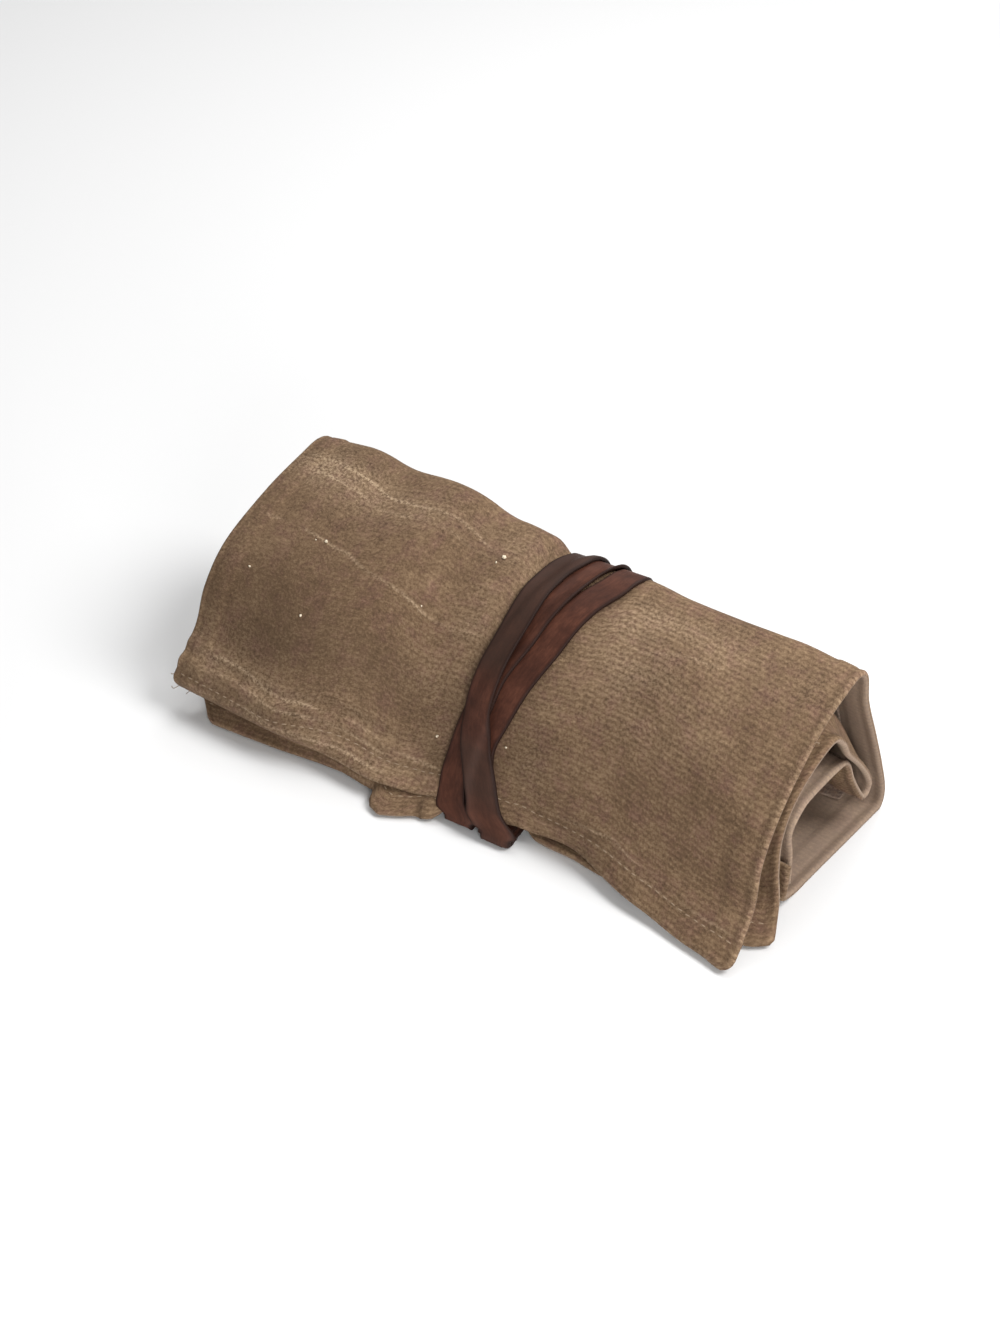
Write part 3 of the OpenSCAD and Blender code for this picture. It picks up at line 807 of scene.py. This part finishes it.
def strapLoop(x):
    # the closed line that every turn follows, on the face of the tied canvas
    rows = shellRows(np.array([x]), full=True)[:, :, 0]
    tip = rows[0]
    hemOut = cloth["hemThick"] / 2 + strap["reach"]
    clothOut = cloth["thick"] / 2 + strap["reach"] + 0.1
    bottom = roll["lift"] - 0.3 - strap["reach"]
    low = tip + np.array([-1, 0]) * hemOut + (-0.6, -2.0)
    first = rows[1] + hemOut * outward(rows[0], rows[2])
    points = [low, low + 0.3 * (first - low), first]
    points += [rows[i] + clothOut * outward(rows[i - 1], rows[i + 1]) for i in range(2, 15)]
    # flat under the roll, and then up round the front hem
    points += [np.array([y, bottom]) for y in (66, 42, 20, tip[0] + 5, tip[0] + 1)]
    points.append(np.array([tip[0] - hemOut - 0.7, bottom - 1.4]))
    n, steps = len(points), 10
    return np.array([catmullRom(*(points[(i + d) % n] for d in (-1, 0, 1, 2)), k / steps)
                     for i in range(n) for k in range(steps)])


def outFrom(loop):
    # the outward side of a closed line, at each of its points
    d = np.roll(loop, -1, 0) - np.roll(loop, 1, 0)
    d /= np.linalg.norm(d, axis=1)[:, None]
    return np.stack([-d[:, 1], d[:, 0]], 1)


def stackTurns(order, n, centre, half):
    # height of each strand over the canvas, on a fine grid along the roll
    gridX = np.arange(*winding["grid"])
    ease = winding["ease"]
    soft = np.hanning(2 * ease + 3)[1:-1]
    top, lifts = {}, []
    for m, c, h in zip(order, centre, half):
        under = top.setdefault(m % n, np.zeros(len(gridX)))
        padded = np.pad(under, ease, mode="edge")
        lifted = np.max([padded[i:i + len(gridX)] for i in range(2 * ease + 1)], axis=0)
        lifted = np.convolve(np.pad(lifted, ease, mode="edge"), soft / soft.sum(), mode="valid")
        lifted = np.maximum(lifted, np.where(np.abs(gridX - c) < h + 0.5, under, 0))
        lifts.append(lifted)
        covered = np.abs(gridX - c) < h
        under[covered] = lifted[covered] + strap["thick"] + strap["gap"]
    alongStrip = np.hanning(2 * ease + 3)[1:-1]
    alongStrip /= alongStrip.sum()

    def eased(v):
        return np.convolve(np.pad(v, ease, mode="edge"), alongStrip, mode="valid")

    return gridX, np.apply_along_axis(eased, 0, np.array(lifts))


def strapSection():
    # round the strip: place across it, up or down, how far out on a rounded edge, and how dark: burnished on
    # the edge, and painted shade in a band on the face beside it
    across = np.concatenate([[-1, -0.93], np.linspace(-0.8, 0.8, 7), [0.93, 1]])
    edgeBurnishAndShade = [0.75, 0.45, 0, 0, 0, 0, 0, 0, 0, 0.45, 0.75]
    ring = [(a, 1, 0, dark) for a, dark in zip(across, edgeBurnishAndShade)]
    ring += [(1, math.sin(q), math.cos(q), 0.9) for q in (math.pi / 4, 0, -math.pi / 4)]
    ring += [(a, -1, 0, dark) for a, dark in zip(across[::-1], edgeBurnishAndShade[::-1])]
    ring += [(-1, math.sin(q), -math.cos(q), 0.9) for q in (-math.pi / 4, 0, math.pi / 4)]
    return ring


def makeStrap():
    left, right = strapLoop(strap["left"]), strapLoop(strap["right"])
    outLeft, outRight = outFrom(left), outFrom(right)
    n = len(left)
    step = np.linalg.norm(np.roll(left, -1, 0) - left, axis=1)
    run = np.concatenate([[0], np.cumsum(step)[:-1]]) / step.sum()
    perimeter = step.sum()
    order = np.arange(-int(strap["startsBefore"] * n), int(strap["endsAfter"] * n) + 1)
    turn = np.floor(order / n) + run[order % n]
    knots = [k + way / perimeter for k, way, place in winding["run"]]
    placeX = np.interp(turn, knots, [place for k, way, place in winding["run"]])
    # the bends are eased, and a strip that runs aslant covers more of the roll's length
    bend = np.hanning(9) / np.hanning(9).sum()
    centre = np.convolve(np.pad(placeX, 4, mode="edge"), bend, mode="valid")
    slope = np.gradient(centre) / (np.gradient(turn) * perimeter)
    half = strap["width"] / 2 * np.sqrt(1 + slope**2)
    gridX, lifts = stackTurns(order, n, centre, half)
    r = strap["thick"] / 2
    edgeIn = r * 0.6  # the rounded edges start this far in
    ring = strapSection()
    faceShift = 30  # the two faces have leather of their own
    verts, uv, rimBurnishAndShade, handled = [], [], [], []
    for i, (m, c, h) in enumerate(zip(order, centre, half)):
        k = m % n
        for a, up, out, dark in ring:
            x = c + a * (h - edgeIn) + out * edgeIn
            t = (x - strap["left"]) / bedWidth
            o = outLeft[k] * (1 - t) + outRight[k] * t
            o = o / np.linalg.norm(o)
            lift = np.interp(x, gridX, lifts[i]) + strap["gap"] - strap["reach"] + strap["thick"] / 2 + up * r
            p = left[k] * (1 - t) + right[k] * t + lift * o
            verts.append((x, p[0], max(p[1], 0.1)))
            uv.append((a * strap["width"] / 2 + up * faceShift, turn[i] * perimeter))
            rimBurnishAndShade.append(dark)
            handled.append(np.interp(turn[i], *winding["handled"]))
    w = len(ring)
    faces = []
    for i in range(len(order) - 1):
        for j in range(w):
            a, b = i * w + j, i * w + (j + 1) % w
            faces.append((a, a + w, b + w, b))
    faces.append(tuple(range(w)))
    faces.append(tuple((len(order) - 1) * w + j for j in reversed(range(w))))
    mesh = bpy.data.meshes.new("tieStrap")
    mesh.from_pydata(inFrame(np.array(verts)).tolist(), [], faces)
    loops = np.empty(len(mesh.loops), int)
    mesh.loops.foreach_get("vertex_index", loops)
    layer = mesh.uv_layers.new(name="strapMm")
    layer.data.foreach_set("uv", np.array(uv)[loops].astype(np.float32).reshape(-1))
    for mark, values in (("rimBurnishAndShade", rimBurnishAndShade), ("handled", handled)):
        attribute = mesh.attributes.new(mark, "FLOAT", "POINT")
        attribute.data.foreach_set("value", np.array(values, np.float32))
    mesh.shade_smooth()
    mesh.validate()
    mesh.materials.append(leather)
    return addObject("tieStrap", mesh)


strapPiece = makeStrap()
print("strap wound")

# Stitches: pale beads of thread along the hems and the pocket's seam

stitches = {
    "pitchMm": 3.2,
    "lengthMm": 2.2,
    "threadMm": 0.5,
    "sinkMm": 0.1,  # the seam's thread is pulled in this far
    "lean": 0.12,  # no two stitches lie quite alike
}


def stitchTree():
    tree = bpy.data.node_groups.new("stitchRow", "GeometryNodeTree")
    face = tree.interface
    face.new_socket("Geometry", in_out="INPUT", socket_type="NodeSocketGeometry")
    for name in ("Pitch", "Stitch length", "Thread width"):
        face.new_socket(name, in_out="INPUT", socket_type="NodeSocketFloat")
    face.new_socket("Seed", in_out="INPUT", socket_type="NodeSocketInt")
    face.new_socket("Geometry", in_out="OUTPUT", socket_type="NodeSocketGeometry")
    given = addNode(tree, "NodeGroupInput").outputs
    line = addNode(tree, "GeometryNodeMeshToCurve", {"Mesh": given["Geometry"]})
    spaced = addNode(tree, "GeometryNodeResampleCurve", {
        "mode": "LENGTH", "Curve": line, "Length": given["Pitch"]})
    size = addNode(tree, "ShaderNodeCombineXYZ", {
        "X": given["Stitch length"], "Y": given["Thread width"], "Z": given["Thread width"]})
    bead = addNode(tree, "GeometryNodeMeshUVSphere", {"Segments": 8, "Rings": 6, "Radius": 0.5})
    shaped = addNode(tree, "GeometryNodeTransform", {"Geometry": bead, "Scale": size})
    tangent = addNode(tree, "GeometryNodeInputTangent")
    sway = addNode(tree, "FunctionNodeRandomValue", {
        "data_type": "FLOAT_VECTOR", "Seed": given["Seed"],
        0: (-stitches["lean"],) * 3, 1: (stitches["lean"],) * 3})
    leaning = addNode(tree, "ShaderNodeVectorMath", {"operation": "ADD", 0: tangent, 1: sway})
    turned = addNode(tree, "FunctionNodeAlignRotationToVector", {"axis": "X", "Vector": leaning})
    placed = addNode(tree, "GeometryNodeInstanceOnPoints", {
        "Points": spaced, "Instance": shaped, "Rotation": turned})
    solid = addNode(tree, "GeometryNodeRealizeInstances", {"Geometry": placed})
    painted = addNode(tree, "GeometryNodeSetMaterial", {"Geometry": solid, "Material": thread})
    addNode(tree, "NodeGroupOutput", {"Geometry": painted})
    return tree


def faceLine(ply, face, s, sideMargin):
    # a line on a ply's face at one path length from its start
    i = int(np.argmin(np.abs(ply["s"] - s)))
    sign = 1 if face == "outer" else -1
    points = ply[face][i].T - sign * stitches["sinkMm"] * ply["normal"][i].T
    end = ply["x"][-1] - sideMargin
    return inFrame(points[np.abs(ply["x"]) <= end])


def stitch(name, lines, tree, seed):
    verts, edges = [], []
    for line in lines:
        start = len(verts)
        verts += [tuple(p) for p in line]
        edges += [(i, i + 1) for i in range(start, len(verts) - 1)]
    mesh = bpy.data.meshes.new(name + "Path")
    mesh.from_pydata(verts, edges, [])
    carrier = addObject(name + "Path", mesh)
    modifier = carrier.modifiers.new("stitches", "NODES")
    modifier.node_group = tree
    values = {"Pitch": stitches["pitchMm"] * 0.001, "Stitch length": stitches["lengthMm"] * 0.001,
              "Thread width": stitches["threadMm"] * 0.001, "Seed": seed}
    for item in tree.interface.items_tree:
        if item.in_out == "INPUT" and item.name in values:
            modifier[item.identifier] = values[item.name]
    baked = bpy.data.meshes.new_from_object(carrier.evaluated_get(bpy.context.evaluated_depsgraph_get()))
    bpy.data.objects.remove(carrier)
    baked.name = name
    baked.shade_smooth()
    return addObject(name, baked)


rowTree = stitchTree()
flapHem = flap["length"] - cloth["hemSeam"]
hemLine = faceLine(shell, "outer", cloth["hemSeam"], sideMargin=3)
flapLines = [faceLine(flap, side, flapHem, sideMargin=4) for side in ("outer", "inner")]
seamLine = faceLine(pocket, "inner", pocketPanel["seam"], sideMargin=2)
hemStitches = stitch("hemStitches", [hemLine], rowTree, seed=3)
flapStitches = stitch("flapStitches", flapLines, rowTree, seed=5)
seamStitches = stitch("pocketStitches", [seamLine], rowTree, seed=8)
print("stitches sewn")

# Crumbs of dry wax on the canvas, and thread ends at its edges

waxCrumbs = {
    "subdivisions": 2,
    # place along the roll, path from the hem, size
    "at": [
        (-75.9, 68.1, 1.1), (-96.4, 50.4, 0.8), (-70.1, 43.8, 0.8), (-13.2, 21.4, 0.9),
        (-16.5, 84.8, 1.7), (-18.4, 82.6, 0.8), (-79, 67.4, 0.6), (-33.5, 58.6, 0.6), (13.4, 26, 0.7),
    ],
}
threadEnds = {
    "radiusMm": 0.13,
    "knots": 6,
    # place along the roll, path from the hem, direction (x, y, z), bow
    "at": [
        (-108.5, 1.6, (-2.4, -1.2, -0.6), 1.0), (-106, 0.2, (-0.4, -2.2, -0.4), -0.6),
        (-109.8, 7, (-1.4, 0.2, -0.5), 0.4), (109.8, 74, (1.5, 0.3, 0.4), 0.4),
    ],
}


def onFace(ply, x, s):
    # the point and the normal of a ply's outer face
    j, i = int(np.argmin(np.abs(ply["x"] - x))), int(np.argmin(np.abs(ply["s"] - s)))
    return ply["outer"][i, :, j], ply["normal"][i, :, j]


def makeCrumbs():
    rng = np.random.default_rng(6)
    verts, faces = [], []
    bead = bmesh.new()
    bmesh.ops.create_icosphere(bead, subdivisions=waxCrumbs["subdivisions"], radius=0.5)
    ball = np.array([v.co[:] for v in bead.verts])
    corners = np.array([[v.index for v in f.verts] for f in bead.faces])
    bead.free()
    for x, s, size in waxCrumbs["at"]:
        point, normal = onFace(shell, x, s)
        shape = ball * size * rng.uniform(0.75, 1.2, 3) * (1 + 0.25 * rng.uniform(-1, 1, (len(ball), 1)))
        faces += (corners + len(verts)).tolist()
        verts += inFrame(shape + point + normal * size * 0.25).tolist()
    mesh = bpy.data.meshes.new("waxCrumbs")
    mesh.from_pydata(verts, [], faces)
    mesh.shade_smooth()
    mesh.materials.append(dryWax)
    return addObject("waxCrumbs", mesh)


def makeThreadEnds():
    data = bpy.data.curves.new("threadEnds", "CURVE")
    data.dimensions = "3D"
    data.bevel_depth = threadEnds["radiusMm"] * 0.001
    data.bevel_resolution = 1
    data.use_fill_caps = True
    for x, s, reach, bow in threadEnds["at"]:
        point, normal = onFace(shell, x, s)
        spline = data.splines.new("POLY")
        spline.points.add(threadEnds["knots"] - 1)
        for k, knot in enumerate(spline.points):
            t = k / (threadEnds["knots"] - 1)
            place = point + np.array(reach) * t + normal * bow * math.sin(math.pi * t)
            place[2] = max(place[2], 0.2)
            knot.co = (*inFrame(place), 1)
    carrier = addObject("threadEndsPath", data)
    mesh = bpy.data.meshes.new_from_object(carrier.evaluated_get(bpy.context.evaluated_depsgraph_get()))
    bpy.data.objects.remove(carrier)
    mesh.name = "threadEnds"
    mesh.materials.clear()
    mesh.materials.append(thread)
    return addObject("threadEnds", mesh)


crumbPiece = makeCrumbs()
threadPiece = makeThreadEnds()
print("crumbs and thread ends laid")

# What each piece stands for

for piece, node, slot in (
    (shellPiece, "outer_shell", "waxed_canvas"),
    (flapPiece, "cover_flap", "waxed_canvas"),
    (pocketPiece, "pocket_panel", "pocket_cloth"),
    (strapPiece, "tie_strap", "strap_leather"),
):
    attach(piece, "root")
    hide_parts(node)
for piece in (hemStitches, flapStitches, seamStitches, crumbPiece, threadPiece):
    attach(piece, "root")

# Studio: pale table, soft lights and the photograph's camera

camera = {
    "azimuth": 38.0,
    "elevation": 37.5,
    "lens": 64.81,
    "sensor": 36,
    "place": (0.3770, -0.4981, 0.5171),
}
studio = {
    "world": 0.34,
    "table": "#e0e0e0",  # background paper: matt and nearly white
    "tableHalf": 6,
    "tableZ": -0.0002,
    # place in metres, width in metres, watts
    "lights": [
        ((0.60, 0.26, 0.80), 0.55, 9.2),
        ((-0.24, 0.60, 1.0), 0.9, 8.4),
        ((0.66, -0.60, 0.32), 0.4, 4.6),
    ],
}


def makeTable():
    half, z = studio["tableHalf"], studio["tableZ"]
    mesh = bpy.data.meshes.new("tableTop")
    corners = [(-half, -half, z), (half, -half, z), (half, half, z), (-half, half, z)]
    mesh.from_pydata(corners, [], [(0, 1, 2, 3)])
    mesh.materials.append(plainMaterial("paperSweep", studio["table"], 0.9))
    addObject("tableTop", mesh)


def makeLights():
    for i, (place, width, watts) in enumerate(studio["lights"]):
        data = bpy.data.lights.new(f"softbox{i}", "AREA")
        data.shape = "DISK"
        data.size = width
        data.energy = watts
        lamp = addObject(f"softbox{i}", data)
        lamp.location = place
        lamp.rotation_euler = (-Vector(place)).to_track_quat("-Z", "Y").to_euler()
    world = bpy.data.worlds.new("studioWhite")
    world.use_nodes = True
    world.node_tree.nodes["Background"].inputs["Color"].default_value = (1, 1, 1, 1)
    world.node_tree.nodes["Background"].inputs["Strength"].default_value = studio["world"]
    bpy.context.scene.world = world
    bpy.context.scene.view_settings.view_transform = "Standard"


def makeCamera():
    data = bpy.data.cameras.new("photoCamera")
    data.lens = camera["lens"]
    data.sensor_width = camera["sensor"]
    data.sensor_fit = "AUTO"
    eye = addObject("photoCamera", data)
    a, e = math.radians(camera["azimuth"]), math.radians(camera["elevation"])
    back = Vector((math.sin(a) * math.cos(e), -math.cos(a) * math.cos(e), math.sin(e)))
    eye.location = camera["place"]
    eye.rotation_euler = (-back).to_track_quat("-Z", "Y").to_euler()
    bpy.context.scene.camera = eye


makeTable()
makeLights()
makeCamera()

print("ready")
